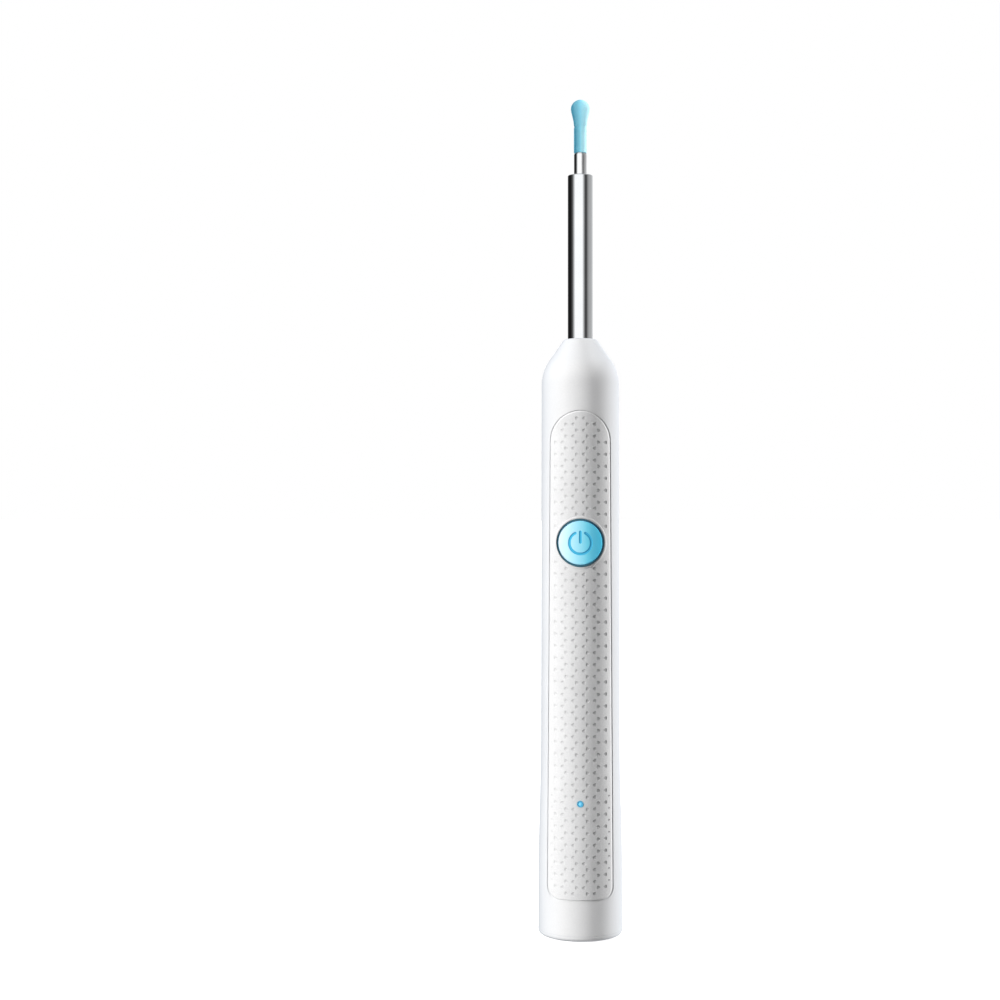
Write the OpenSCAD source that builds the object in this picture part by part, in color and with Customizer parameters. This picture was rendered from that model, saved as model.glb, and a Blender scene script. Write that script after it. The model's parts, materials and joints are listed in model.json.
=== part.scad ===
// Ear wax cleaner with a camera probe.
// It stands on its base at the origin, with the button towards -Y and the probe up along +Z.
// All sizes are in millimetres.

/* [Body] */
// Diameter of the straight band round the base
base_d = 14; // [13.9:0.1:14.6]
// Diameter of the waist, above the flared base
waist_d = 13.12; // [13.1:0.02:13.4]
// Diameter just under the shoulder
shoulder_d = 12.86; // [12.8:0.02:13.0]
// Height of the neck's top face
neck_z = 99.1; // [98.8:0.1:101]
// Thickness of the end cap's flange, which closes the body below
cap_flange_h = 0.9; // [0.8:0.1:1.1]

/* [Grip panel] */
// Height of the panel's lower edge
panel_z0 = 6.6; // [6.4:0.1:7]
// Height of the top of the panel's arch
panel_z1 = 86.8; // [84:0.1:87]
// Width of the panel's recess at its lower edge
panel_w0 = 10.88; // [10.6:0.02:11]
// Width of the panel's recess where its arch begins
panel_w1 = 9.96; // [9.6:0.02:10]
// Depth of the recess that the panel and its adhesive fill
recess_t = 0.7; // [0.6:0.05:0.75]
// Thickness of the adhesive film under the panel
adhesive_t = 0.1; // [0.05:0.05:0.15]

/* [Power button] */
// Height of the button's centre
button_z = 65.1; // [63:0.1:68]
// Diameter of the button's face
button_d = 7.1; // [6.9:0.1:7.2]
// Diameter of the metal ring round the button
bezel_d = 7.9; // [7.8:0.1:8]
// Travel of the button
button_travel = 0.3; // [0.2:0.05:0.35]
// Height of the status light's centre
status_z = 22.5; // [21:0.1:26]

/* [Probe] */
// Diameter of the steel probe tube
probe_d = 4.2; // [4.1:0.05:4.3]
// Length of probe tube that shows above the neck
probe_len = 27.1; // [24:0.1:30]
// Diameter of the thin lens barrel that shows above the probe
barrel_d = 2.1; // [2.05:0.05:2.2]
// Length of lens barrel that shows between the probe and the spoon
barrel_len = 3.7; // [3:0.1:5]
// Length of the silicone ear spoon
spoon_len = 9.1; // [9:0.1:9.4]

/* [Battery] */
// Length of the battery cell
cell_len = 38; // [30:0.5:38]
// Width of the battery cell
cell_w = 7.6; // [7:0.1:7.6]
// Thickness of the battery cell
cell_t = 4; // [3.6:0.1:4]

/* [Hidden] */

$fn = 64;
slack = 0.02;      // gap round a part that is pushed into a bore
cut = 0.1;         // how far a cutting solid runs past a face

base_r = base_d / 2;
waist_r = waist_d / 2;
shoulder_r = shoulder_d / 2;

// The body's outline: a straight band, a flare, a slow taper, a rounded shoulder and a cone.
band_z = 7.2;
flare_z = 34;
flare_steps = 8;
shoulder_z = neck_z - 7.8;
shoulder_arc = 7;
cone_angle = 36;
lip_r = 2.36;
lip_round = 0.35;

// The body's bore, which widens below for the end cap.
bore_r = 5.4;
cap_bore_r = 5.9;
cap_bore_z = 8;
seat_r = 3;
seat_z0 = neck_z - 3.8;
seat_z1 = neck_z - 1.9;
snap_z = 4.3;
snap_h = 0.6;
snap_depth = 0.14;

panel_gap = 0.14;
panel_corner = 2;
panel_t = recess_t - adhesive_t;

button_r = button_d / 2;
bezel_r = bezel_d / 2;
bezel_in_r = button_r + 0.07;
bezel_proud = 0.2;
button_proud = 0.25;
flange_r = 4.2;
window_r = 4.4;
icon_r = 1.8;
icon_w = 0.32;
icon_depth = 0.12;
icon_gap = 27;     // half the opening at the top of the power symbol, in degrees

light_r = 0.53;
light_flange_r = 0.95;
light_flange_t = 0.25;

probe_r = probe_d / 2;
probe_seat_r = probe_r - 0.05;
probe_seat_z1 = neck_z + 0.1;
probe_wall = 0.3;
probe_z0 = shoulder_z - 3.3;
probe_z1 = neck_z + probe_len;
barrel_r = barrel_d / 2;
spigot_r = 0.86;
barrel_bore_r = 0.76;
step_gap = 0.16;   // gap under the spoon's sleeve, down to the barrel's step
barrel_z0 = probe_z1 - 3;
spoon_z0 = probe_z1 + barrel_len;
spigot_z1 = spoon_z0 + 4.2;
spoon_z1 = spoon_z0 + spoon_len;
sleeve_r = barrel_r + 0.03;
lens_r = 0.54;
guide_r = 0.74;
guide_z0 = probe_z1 - 4.8;
led_board_t = 0.4;
led_board_z = guide_z0 - 0.35 - led_board_t;

// The circuit board stands in the middle of the bore, with its parts on the front.
board_t = 0.8;
board_back = -1.6;
board_front = board_back - board_t;
board_half_w = 4.4;
board_z0 = 1.4;
board_z1 = shoulder_z - 8.3;

chassis_r = 5.25;
chassis_z0 = 7.95;
nose_z0 = board_z1 + 1;
nose_z1 = shoulder_z;
bay_half_w = 3.85;
cell_bay_z0 = 14;
cell_bay_z1 = 56;
top_bay_z0 = 60;
top_bay_z1 = board_z1 - 2;
bay_back = 2.85;
cell_z0 = 15;
cell_z1 = cell_z0 + cell_len;
pad_t = 0.3;
cell_front = board_back + pad_t;

screw_r = 0.6;
screw_head_r = 1.1;
screw_head_t = 0.5;
screw_len = 3.2;
screw_spots = [for (z = [11, board_z1 - 1.25], x = [-2.9, 2.9]) [x, z]];

switch_t = 1.5;
switch_front = board_front - switch_t;
plunger_r = 0.75;
plunger_front = switch_front - 0.5;
plunger_back = switch_front + 0.3;

usb_z0 = 0.3;
usb_len = 7.3;
usb_half_w = 4.47;
usb_half_t = 1.6;
usb_wall = 0.3;
tongue_half_w = 3.34;
tongue_half_t = 0.35;
contact_pitch = 0.5;
contact_count = 12;

cable_w = 0.9;
cable_t = 0.1;
cable_y = board_front - 0.4;
bend_z1 = probe_z0 + 2;
bend_z0 = board_z1 + 0.6;
bend_steps = 10;

wire_r = 0.3;
plug_y = -0.85;
plug_z0 = 62;
wire_route = [
    [0.8, 0.7, 55.3], [0.8, 0.7, 57.5], [0.78, 0.6, 58.6], [0.72, 0.25, 59.6],
    [0.67, -0.35, 60.5], [0.65, -0.75, 61.2], [0.65, -0.85, 62]
];

function flare(z) = (1 + cos(180 * (z - band_z) / (flare_z - band_z))) / 2;
function taper(z) = (z - flare_z) / (shoulder_z - flare_z);
function body_r(z) =
    z <= band_z ? base_r
    : z < flare_z ? waist_r + (base_r - waist_r) * flare(z)
    : waist_r + (shoulder_r - waist_r) * taper(z);

flare_heights = [for (i = [0 : flare_steps]) band_z + (flare_z - band_z) * i / flare_steps];
cone_top = [lip_r + lip_round, neck_z - lip_round];

// Points of the body's outline as [radius, height], pulled in by inset.
function body_outline(inset) = concat(
    [[0, cap_flange_h], [base_r - inset, cap_flange_h]],
    [for (z = flare_heights) [body_r(z) - inset, z]],
    [for (a = [0 : 6 : cone_angle])
        [shoulder_r - inset - shoulder_arc * (1 - cos(a)), shoulder_z + shoulder_arc * sin(a)]],
    [for (a = [0 : 30 : 90])
        [cone_top.x - inset - lip_round * (1 - cos(a)), cone_top.y + lip_round * sin(a)]],
    [[0, neck_z]]
);

// Right half of the panel's outline as [x, height], pulled in by inset. Its sides lean in upwards.
arch_r = panel_w1 / 2;
function panel_edge(inset) = concat(
    [for (a = [-90 : 15 : 0])
        [panel_w0 / 2 - panel_corner + (panel_corner - inset) * cos(a),
         panel_z0 + panel_corner + (panel_corner - inset) * sin(a)]],
    [for (a = [0 : 7.5 : 90])
        [(arch_r - inset) * cos(a), panel_z1 - arch_r + (arch_r - inset) * sin(a)]]
);
function mirrored(points) = [for (i = [len(points) - 1 : -1 : 0]) [-points[i].x, points[i].y]];

// Points on both sides of a flat path, half a thickness away.
function path_normal(p, i) =
    let (a = p[max(i - 1, 0)], b = p[min(i + 1, len(p) - 1)], d = b - a) [-d.y, d.x] / norm(d);
function thick_path(p, t) = concat(
    [for (i = [0 : len(p) - 1]) p[i] + path_normal(p, i) * t / 2],
    [for (i = [len(p) - 1 : -1 : 0]) p[i] - path_normal(p, i) * t / 2]
);

// Ring of points round a route's point i, square to the route there.
function route_ring(p, i, r, sides) =
    let (
        d = p[min(i + 1, len(p) - 1)] - p[max(i - 1, 0)],
        u = cross([1, 0, 0], d / norm(d)),
        v = cross(d / norm(d), u / norm(u))
    ) [for (k = [0 : sides - 1])
        p[i] + r * (cos(360 * k / sides) * v + sin(360 * k / sides) * u / norm(u))];

module along_y(x, z, y0, y1, r) {
    translate([x, y0, z]) rotate([-90, 0, 0]) cylinder(h = y1 - y0, r = r);
}

// A box given by its two corners.
module box(a, b) {
    translate(a) cube(b - a);
}

// Carries a flat shape drawn as [x, height] to the front, from y = 0 towards -Y.
module front_prism(depth) {
    rotate([90, 0, 0]) linear_extrude(depth) children();
}

// Carries a flat shape drawn as [y, height] across the body, centred on x = 0.
module side_prism(width) {
    rotate([90, 0, 90]) linear_extrude(width, center = true) children();
}

module ring(r_out, r_in, z0, z1) {
    difference() {
        translate([0, 0, z0]) cylinder(h = z1 - z0, r = r_out);
        translate([0, 0, z0 - cut]) cylinder(h = z1 - z0 + 2 * cut, r = r_in);
    }
}

// A flat slot with round ends, centred on the axis.
module stadium(half_w, half_t) {
    square([2 * (half_w - half_t), 2 * half_t], center = true);
    for (side = [-1, 1]) translate([side * (half_w - half_t), 0]) circle(r = half_t);
}

// A tube along a route's points.
module swept_tube(route, r, sides = 8) {
    n = len(route);
    points = [for (i = [0 : n - 1]) each route_ring(route, i, r, sides)];
    walls = [for (i = [0 : n - 2], k = [0 : sides - 1])
        let (a = i * sides + k, b = i * sides + (k + 1) % sides) [a, b, b + sides, a + sides]];
    ends = [[for (k = [sides - 1 : -1 : 0]) k], [for (k = [0 : sides - 1]) (n - 1) * sides + k]];
    polyhedron(points, concat(walls, ends));
}

module body_solid(inset = 0) {
    rotate_extrude($fn = 96) polygon(body_outline(inset));
}

module panel_shape(inset) {
    front_prism(12) polygon(concat(panel_edge(inset), mirrored(panel_edge(inset))));
}

module cavity() {
    rotate_extrude($fn = 96) polygon([
        [0, 0], [cap_bore_r, 0], [cap_bore_r, cap_bore_z], [bore_r, cap_bore_z],
        [bore_r, shoulder_z + 0.2], [seat_r, seat_z0], [seat_r, seat_z1],
        [probe_r, seat_z1], [probe_r, neck_z + 1], [0, neck_z + 1]
    ]);
}

module housing() {
    color("whitesmoke") difference() {
        body_solid();
        cavity();
        difference() {
            panel_shape(0);
            body_solid(recess_t);
        }
        along_y(0, button_z, -9, -2, window_r);
        along_y(0, status_z, -9, -2, light_r - 0.03);
        along_y(0, status_z, -9, light_seat_y() + slack, light_flange_r + 0.05);
        ring(cap_bore_r + snap_depth + 0.03, bore_r, snap_z - 0.05, snap_z + snap_h + 0.05);
    }
}

module grip_panel() {
    color("white") difference() {
        intersection() {
            panel_shape(panel_gap);
            body_solid();
        }
        body_solid(panel_t);
        along_y(0, button_z, -9, -2, bezel_r + slack);
        along_y(0, status_z, -9, -2, light_r + slack);
    }
}

module panel_adhesive() {
    color("gainsboro") difference() {
        intersection() {
            panel_shape(0.25);
            body_solid(panel_t);
        }
        body_solid(recess_t);
        along_y(0, button_z, -9, -2, window_r);
        along_y(0, status_z, -9, -2, light_flange_r + 0.25);
    }
}

// Closes the body below. A ring carries two snap ridges, and its thick back part holds the chassis up.
module end_cap() {
    round_r = 0.7;
    ring_r = cap_bore_r - slack;
    ring_in_r = 5.15;
    block_in_r = 4.1;
    top_z = cap_bore_z - 0.1;
    color("whitesmoke") difference() {
        union() {
            rotate_extrude($fn = 96) polygon(concat(
                [[0, 0]],
                [for (a = [-90 : 15 : 0])
                    [base_r - round_r * (1 - cos(a)), round_r * (1 + sin(a))]],
                [[base_r, cap_flange_h], [ring_r, cap_flange_h], [ring_r, top_z],
                 [ring_in_r, top_z], [ring_in_r, cap_flange_h], [0, cap_flange_h]]
            ));
            intersection() {
                ring(ring_r - 0.3, block_in_r, cap_flange_h - cut, top_z);
                box([-3.5, 2.4, 0], [3.5, 6, cap_bore_z]);
            }
            intersection() {
                rotate_extrude($fn = 96) polygon([
                    [ring_r - 0.3, snap_z - 0.1], [ring_r, snap_z], [cap_bore_r + snap_depth, snap_z + snap_h / 2],
                    [ring_r, snap_z + snap_h], [ring_r - 0.3, snap_z + snap_h + 0.1]
                ]);
                box([-1.5, -7, 0], [1.5, 7, cap_bore_z]);
            }
        }
        translate([0, 0, -cut]) linear_extrude(cap_flange_h + 2 * cut)
            stadium(usb_half_w + 0.13, usb_half_t + 0.15);
    }
}

// An open ring and a bar, drawn flat round the origin.
module power_symbol() {
    difference() {
        circle(r = icon_r + icon_w / 2);
        circle(r = icon_r - icon_w / 2);
        polygon([[0, 0], 4 * [-sin(icon_gap), cos(icon_gap)], 4 * [sin(icon_gap), cos(icon_gap)]]);
    }
    translate([-icon_w / 2, 0]) square([icon_w, icon_r]);
}

// The face follows the body's curve. A flange behind the panel holds the button in.
module power_button() {
    back_y = -3.7;
    roof_y = -5.2;
    color("skyblue") difference() {
        union() {
            intersection() {
                along_y(0, button_z, -9, back_y, button_r);
                body_solid(-button_proud);
            }
            intersection() {
                along_y(0, button_z, -9, back_y, flange_r);
                body_solid(recess_t + 0.05);
            }
        }
        difference() {
            along_y(0, button_z, roof_y, back_y + cut, 3.1);
            along_y(0, button_z, roof_y - cut, plunger_front - slack, 0.9);
        }
        difference() {
            translate([0, 0, button_z]) front_prism(9) power_symbol();
            body_solid(icon_depth - button_proud);
        }
    }
}

module button_bezel() {
    color("teal") difference() {
        intersection() {
            along_y(0, button_z, -9, -2, bezel_r);
            body_solid(-bezel_proud);
        }
        body_solid(panel_t);
        along_y(0, button_z, -9, -2, bezel_in_r);
    }
}

function light_seat_y() = -(body_r(status_z) - recess_t - 0.31);
module light_pipe() {
    seat = light_seat_y();
    color("deepskyblue") {
        along_y(0, status_z, -body_r(status_z) - 0.06, seat, light_r);
        along_y(0, status_z, seat - light_flange_t, seat, light_flange_r);
        along_y(0, status_z, seat - cut, board_front - 0.8, light_r - 0.08);
    }
}

// The tube is ground to a slight taper where it is seated in the neck and the chassis.
module probe_tube() {
    round_r = 0.2;
    taper = 0.04;
    color("silver") rotate_extrude() polygon(concat(
        [[probe_r - probe_wall, probe_z0], [probe_seat_r - taper, probe_z0],
         [probe_seat_r, probe_seat_z1], [probe_r, probe_seat_z1]],
        [for (a = [0 : 30 : 90])
            [probe_r - round_r * (1 - cos(a)), probe_z1 - round_r * (1 - sin(a))]],
        [[probe_r - probe_wall, probe_z1]]
    ));
}

module probe_ferrule() {
    color("silver") ring(probe_r - probe_wall - slack, barrel_r + slack, barrel_z0, probe_z1 - 0.05);
}

module probe_collar() {
    color("goldenrod") {
        ring(seat_r - 0.05, probe_seat_r + slack, nose_z1 + 0.05, neck_z - 2.9);
        ring(4.5, probe_seat_r + slack, nose_z1 + 0.05, nose_z1 + 0.95);
    }
}

module probe_set_screw() {
    z = probe_z0 + 1.6;
    color("dimgray") difference() {
        along_y(0, z, probe_seat_r + slack, 4.6, 0.78);
        translate([0, 3.8, z]) rotate([-90, 30, 0]) cylinder(h = 1, r = 0.42, $fn = 6);
    }
}

module neck_seal() {
    section = 0.42;
    color("dimgray") translate([0, 0, neck_z - 2.35]) rotate_extrude()
        translate([probe_seat_r + 0.04 + section, 0]) circle(r = section, $fn = 24);
}

module lens_barrel() {
    color("silver") rotate_extrude() polygon([
        [barrel_bore_r, barrel_z0], [barrel_r, barrel_z0], [barrel_r, spoon_z0 - step_gap],
        [spigot_r, spoon_z0 - step_gap], [spigot_r, spigot_z1], [barrel_bore_r, spigot_z1]
    ]);
}

// Half the spoon's width at a share of its length, and the spoon's edge seen from the side.
spoon_front = [
    [sleeve_r, 0], [sleeve_r, 4.2], [1.1, 4.7], [1.22, 5.5], [1.41, 6.4], [1.53, 7], [1.58, 7.45],
    [1.52, 8], [1.31, 8.5], [0.95, 8.86], [0.5, 9.05], [0, 9.1]
];
spoon_side = [
    [-sleeve_r, 0], [-sleeve_r, 4], [-1.2, 5.5], [-1.24, 6.8], [-1.12, 7.9], [-0.85, 8.7], [-0.45, 9.1],
    [-0.1, 9], [0.05, 8.6], [0, 7.6], [-0.2, 6.4], [-0.4, 5.3], [-0.42, 4.3], [sleeve_r, 4.05], [sleeve_r, 0]
];

// A silicone sleeve with a dished spoon on a stem at its front. The dish faces back, over the lens.
module ear_spoon() {
    reach = spoon_len / 9.1;
    dish_r = 2;
    color("lightblue") difference() {
        intersection() {
            translate([0, 2, spoon_z0]) front_prism(4) scale([1, reach])
                polygon(concat(spoon_front, mirrored(spoon_front)));
            translate([0, 0, spoon_z0]) side_prism(4) scale([1, reach]) polygon(spoon_side);
            union() {
                translate([0, 0, spoon_z0]) cylinder(h = 4.4, r = sleeve_r);
                translate([-2, -2, spoon_z0 + 4]) cube([4, 4, spoon_len]);
            }
        }
        translate([0, 0, spoon_z0 - cut]) cylinder(h = 4.5, r = spigot_r + slack);
        translate([0, dish_r - 0.72, spoon_z0 + 7.2]) sphere(r = dish_r, $fn = 48);
    }
}

module camera_lens() {
    z = spigot_z1 - 0.6;
    bulge = 0.16;
    color("lightcyan", 0.5) rotate_extrude() polygon(concat(
        [[0, z], [lens_r, z]],
        [for (a = [0 : 15 : 90]) [lens_r * cos(a), z + 0.35 + bulge * sin(a)]]
    ));
}

module camera_module() {
    color("dimgray") translate([0, 0, spigot_z1 - 2.6]) cylinder(h = 2, r = lens_r);
}

// Carries the light of the four small lights up round the camera.
module light_guide() {
    foot_r = probe_r - probe_wall - 0.2;
    color("azure", 0.5) rotate_extrude() polygon([
        [lens_r + slack, guide_z0], [foot_r, guide_z0], [foot_r, guide_z0 + 0.5],
        [guide_r, barrel_z0 - 0.4], [guide_r, spigot_z1 - 0.1], [lens_r + slack, spigot_z1 - 0.1]
    ]);
}

module led_board() {
    color("white") ring(probe_r - probe_wall - 0.1, lens_r + 0.06, led_board_z, led_board_z + led_board_t);
}

module light_leds() {
    size = 0.5;
    color("lightyellow") for (a = [45 : 90 : 315])
        rotate([0, 0, a]) translate([1.15 - size / 2, -size / 2, led_board_z + led_board_t])
            cube([size, size, 0.3]);
}

// A flat cable from the camera down the probe, over the board's top edge and into its connector.
module camera_cable() {
    run = concat(
        [[0, spigot_z1 - 2.62]],
        [for (i = [0 : bend_steps])
            [cable_y * (1 - cos(180 * i / bend_steps)) / 2,
             bend_z1 + (bend_z0 - bend_z1) * i / bend_steps]],
        [[cable_y, board_z1 - 2.6]]
    );
    color("peru") side_prism(cable_w) polygon(thick_path(run, cable_t));
}

module cable_connector() {
    color("ivory") difference() {
        box([-1.6, board_front - 1, board_z1 - 4], [1.6, board_front, board_z1 - 1.8]);
        box([-0.55, cable_y - 0.1, board_z1 - 2.7], [0.55, cable_y + 0.1, board_z1 - 1.7]);
    }
}

// A half-round carrier for the board and the battery, with a nose that holds the probe.
module chassis() {
    color("gray") difference() {
        union() {
            intersection() {
                translate([0, 0, chassis_z0]) cylinder(h = nose_z0 - chassis_z0, r = chassis_r);
                box([-6, board_back, 0], [6, 6, nose_z0]);
            }
            translate([0, 0, nose_z0]) cylinder(h = nose_z1 - nose_z0, r = chassis_r);
        }
        box([-bay_half_w, board_back - cut, cell_bay_z0], [bay_half_w, bay_back, cell_bay_z1]);
        box([-bay_half_w, board_back - cut, top_bay_z0], [bay_half_w, 3.2, top_bay_z1]);
        box([-1.7, -0.4, cell_bay_z1 - cut], [1.7, 1.7, top_bay_z0 + cut]);
        box([-1, -6, nose_z0 - cut], [1, 0.6, probe_z0 + cut]);
        translate([0, 0, probe_z0 - slack]) cylinder(h = 9, r = probe_seat_r + slack);
        along_y(0, probe_z0 + 1.6, 1, 6, 0.8);
        for (s = screw_spots)
            along_y(s.x, s.y, board_back - cut, board_front + screw_len + 0.3, screw_r + 0.01);
    }
}

module main_board() {
    color("darkgreen") difference() {
        box([-board_half_w, board_front, board_z0], [board_half_w, board_back, board_z1]);
        for (s = screw_spots) along_y(s.x, s.y, board_front - cut, board_back + cut, screw_r + 0.15);
    }
}

module board_screws() {
    color("silver") for (s = screw_spots) difference() {
        union() {
            along_y(s.x, s.y, board_front, board_front + screw_len, screw_r);
            along_y(s.x, s.y, board_front - screw_head_t, board_front, screw_head_r);
        }
        for (turn = [0, 90]) translate([s.x, board_front - screw_head_t, s.y]) rotate([0, turn, 0])
            cube([1.2, 0.5, 0.25], center = true);
    }
}

// A part soldered to the front of the board: width, height along Z, and thickness.
module on_board(x, z, w, h, t) {
    box([x - w / 2, board_front - t, z - h / 2], [x + w / 2, board_front, z + h / 2]);
}

module tact_switch() {
    color("black") difference() {
        on_board(0, button_z, 4, 3, switch_t);
        along_y(0, button_z, switch_front - cut, plunger_back + button_travel + 0.05, plunger_r + 0.05);
    }
    color("silver") for (x = [-1, 1], z = [-1, 1]) on_board(x * 2.3, button_z + z, 0.6, 0.6, 0.15);
}

module switch_plunger() {
    color("black") along_y(0, button_z, plunger_front, plunger_back, plunger_r);
}

module usb_shell() {
    color("silver") translate([0, 0, usb_z0]) difference() {
        linear_extrude(usb_len) stadium(usb_half_w, usb_half_t);
        translate([0, 0, -cut]) linear_extrude(usb_len - usb_wall + cut)
            stadium(usb_half_w - usb_wall, usb_half_t - usb_wall);
    }
}

module usb_tongue() {
    back_z = usb_z0 + usb_len - usb_wall;
    root_z = back_z - 1.2;
    color("black") {
        box([-tongue_half_w, -tongue_half_t, usb_z0 + 0.8], [tongue_half_w, tongue_half_t, root_z]);
        translate([0, 0, root_z]) linear_extrude(back_z - root_z)
            stadium(usb_half_w - usb_wall, usb_half_t - usb_wall);
    }
}

module usb_contacts() {
    half = contact_pitch * (contact_count - 1) / 2;
    root_z = usb_z0 + usb_len - usb_wall - 1.2;
    color("gold") for (side = [-1, 1], x = [-half : contact_pitch : half])
        translate([x, side * (tongue_half_t + 0.03), (root_z + usb_z0 + 1.3) / 2])
            cube([0.26, 0.06, root_z - usb_z0 - 1.3], center = true);
}

can_z = 36;
can_h = 12;
can_w = 7.2;
can_t = 1.2;
can_wall = 0.15;
module shield_can() {
    color("silver") difference() {
        on_board(0, can_z, can_w, can_h, can_t);
        translate([0, cut, 0]) on_board(0, can_z, can_w - 2 * can_wall, can_h - 2 * can_wall,
            can_t - can_wall + cut);
    }
}

module wifi_chip() {
    color("black") on_board(0, can_z + 0.6, 5, 5, 0.85);
}

module flash_chip() {
    color("black") on_board(-1.2, can_z - 4, 3, 2, 0.6);
}

module crystal() {
    color("silver") on_board(1.6, can_z + 4.5, 2, 1.6, 0.5);
}

module antenna() {
    color("lightblue") on_board(0, can_z + 9.5, 5.2, 2, 1.1);
}

module charger_chip() {
    color("black") on_board(0, 11, 2, 2, 0.75);
}

module power_inductor() {
    color("dimgray") on_board(0, 17, 3, 3, 1.2);
}

module motion_sensor() {
    color("black") on_board(0, can_z + 15.5, 2.5, 3, 0.8);
}

module capacitors() {
    color("tan") {
        for (x = [-2.6, 2.6], z = [15.6, 17.1, 18.6]) on_board(x, z, 1.6, 0.8, 0.8);
        for (x = [-2.7, 2.7]) on_board(x, can_z + 14.6, 1.6, 0.8, 0.8);
        for (x = [-1.6, 1.6]) on_board(x, button_z + 4, 1.6, 0.8, 0.8);
    }
}

module resistors() {
    color("black") {
        for (x = [-1.8, 1.8], z = [8.2, 9.2]) on_board(x, z, 1, 0.5, 0.35);
        for (x = [-2, 2], z = [21.6, 22.5, 23.4]) on_board(x, z, 1, 0.5, 0.35);
        for (x = [-2.7, 2.7], z = [0, 1]) on_board(x, can_z + 16.4 + z, 1, 0.5, 0.35);
    }
}

module status_led() {
    color("white") on_board(0, status_z, 1.6, 0.8, 0.6);
}

module battery_cell() {
    round_r = 0.9;
    color("silver") translate([0, cell_front + cell_t / 2, cell_z0]) linear_extrude(cell_len) {
        square([cell_w - 2 * round_r, cell_t], center = true);
        square([cell_w, cell_t - 2 * round_r], center = true);
        for (x = [-1, 1], y = [-1, 1])
            translate([x * (cell_w / 2 - round_r), y * (cell_t / 2 - round_r)]) circle(r = round_r, $fn = 24);
    }
}

module battery_pad() {
    color("dimgray") box([-2.6, board_back, cell_z0 + 2], [2.6, cell_front, cell_z1 - 2]);
}

module battery_board() {
    color("darkgreen") box([-2.8, 0.3, cell_z1], [2.8, 1.1, wire_route[0].z]);
}

function wire_side(side) = [for (p = wire_route) [side * p.x, p.y, p.z]];

module battery_wire_red() {
    color("red") swept_tube(wire_side(1), wire_r);
}

module battery_wire_black() {
    color("black") swept_tube(wire_side(-1), wire_r);
}

module battery_plug() {
    color("ivory") box([-1.5, plug_y - 0.5, plug_z0], [1.5, plug_y + 0.5, plug_z0 + 3.4]);
}

module battery_socket() {
    color("ivory") difference() {
        box([-2.1, board_back, plug_z0 + 1.4], [2.1, plug_y + 0.8, plug_z0 + 4.4]);
        box([-1.55, plug_y - 0.55, plug_z0 + 1], [1.55, plug_y + 0.55, plug_z0 + 3.45]);
    }
}

housing();
grip_panel();
panel_adhesive();
end_cap();
power_button();
button_bezel();
light_pipe();
probe_tube();
probe_ferrule();
probe_collar();
probe_set_screw();
neck_seal();
lens_barrel();
ear_spoon();
camera_lens();
camera_module();
light_guide();
led_board();
light_leds();
camera_cable();
cable_connector();
chassis();
main_board();
board_screws();
tact_switch();
switch_plunger();
usb_shell();
usb_tongue();
usb_contacts();
shield_can();
wifi_chip();
flash_chip();
crystal();
antenna();
charger_chip();
power_inductor();
motion_sensor();
capacitors();
resistors();
status_led();
battery_cell();
battery_pad();
battery_board();
battery_wire_red();
battery_wire_black();
battery_plug();
battery_socket();
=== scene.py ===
"""Ear wax cleaner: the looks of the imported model, in metres, in the CAD frame."""
import json
from math import atan2, cos, degrees, pi, radians, sin, sqrt

import bpy
import numpy as np
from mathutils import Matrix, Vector
from mathutils.geometry import delaunay_2d_cdt


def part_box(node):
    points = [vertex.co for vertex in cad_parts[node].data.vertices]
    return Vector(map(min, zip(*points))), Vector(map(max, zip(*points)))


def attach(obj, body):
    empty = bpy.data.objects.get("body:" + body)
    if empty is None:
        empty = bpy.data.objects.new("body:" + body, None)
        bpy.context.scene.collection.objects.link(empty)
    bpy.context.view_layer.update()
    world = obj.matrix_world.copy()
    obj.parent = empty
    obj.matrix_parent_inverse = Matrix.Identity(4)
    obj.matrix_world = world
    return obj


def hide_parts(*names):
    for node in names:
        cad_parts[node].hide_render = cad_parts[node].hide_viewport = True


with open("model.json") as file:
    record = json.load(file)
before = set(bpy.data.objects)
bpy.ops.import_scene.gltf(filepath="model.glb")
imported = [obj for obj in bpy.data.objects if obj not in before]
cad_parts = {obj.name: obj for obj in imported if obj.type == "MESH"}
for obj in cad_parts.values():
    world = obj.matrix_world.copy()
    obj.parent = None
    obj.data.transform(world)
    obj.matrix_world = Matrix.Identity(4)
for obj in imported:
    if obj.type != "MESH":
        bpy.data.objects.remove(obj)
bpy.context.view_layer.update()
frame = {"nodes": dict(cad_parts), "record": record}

MM = 0.001


def box_mm(node):
    """Lowest and highest corner of a CAD node, in millimetres."""
    low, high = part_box(node)
    return np.array(low) / MM, np.array(high) / MM


# ---------------------------------------------------------------- sizes, in mm
HOUSING_LOW, HOUSING_HIGH = box_mm("housing")
BASE_R = HOUSING_HIGH[0]
NECK_Z = HOUSING_HIGH[2]
SEAM_Z = HOUSING_LOW[2]              # where the end cap meets the sleeve
BAND_Z, FLARE_Z = 7.2, 34.0          # the base's straight band ends, and its flare has narrowed to the waist
WAIST_R = 6.56
SHOULDER_R = 6.43
SHOULDER_Z = NECK_Z - 7.8
SHOULDER_ARC, CONE_ANGLE = 7.0, radians(36)
LIP_Z, LIP_R, LIP_ROUND = NECK_Z - 0.2, 2.29, 0.75
BORE_R0, BORE_R1 = 5.9, 5.4          # the sleeve's bore: wide at the end cap, narrow above it
BORE_Z0, BORE_Z1 = 8.6, SHOULDER_Z - 1.0  # where its narrow stretch begins and ends
SLACK = 0.02                         # left round each piece that stands in a hole

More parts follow.
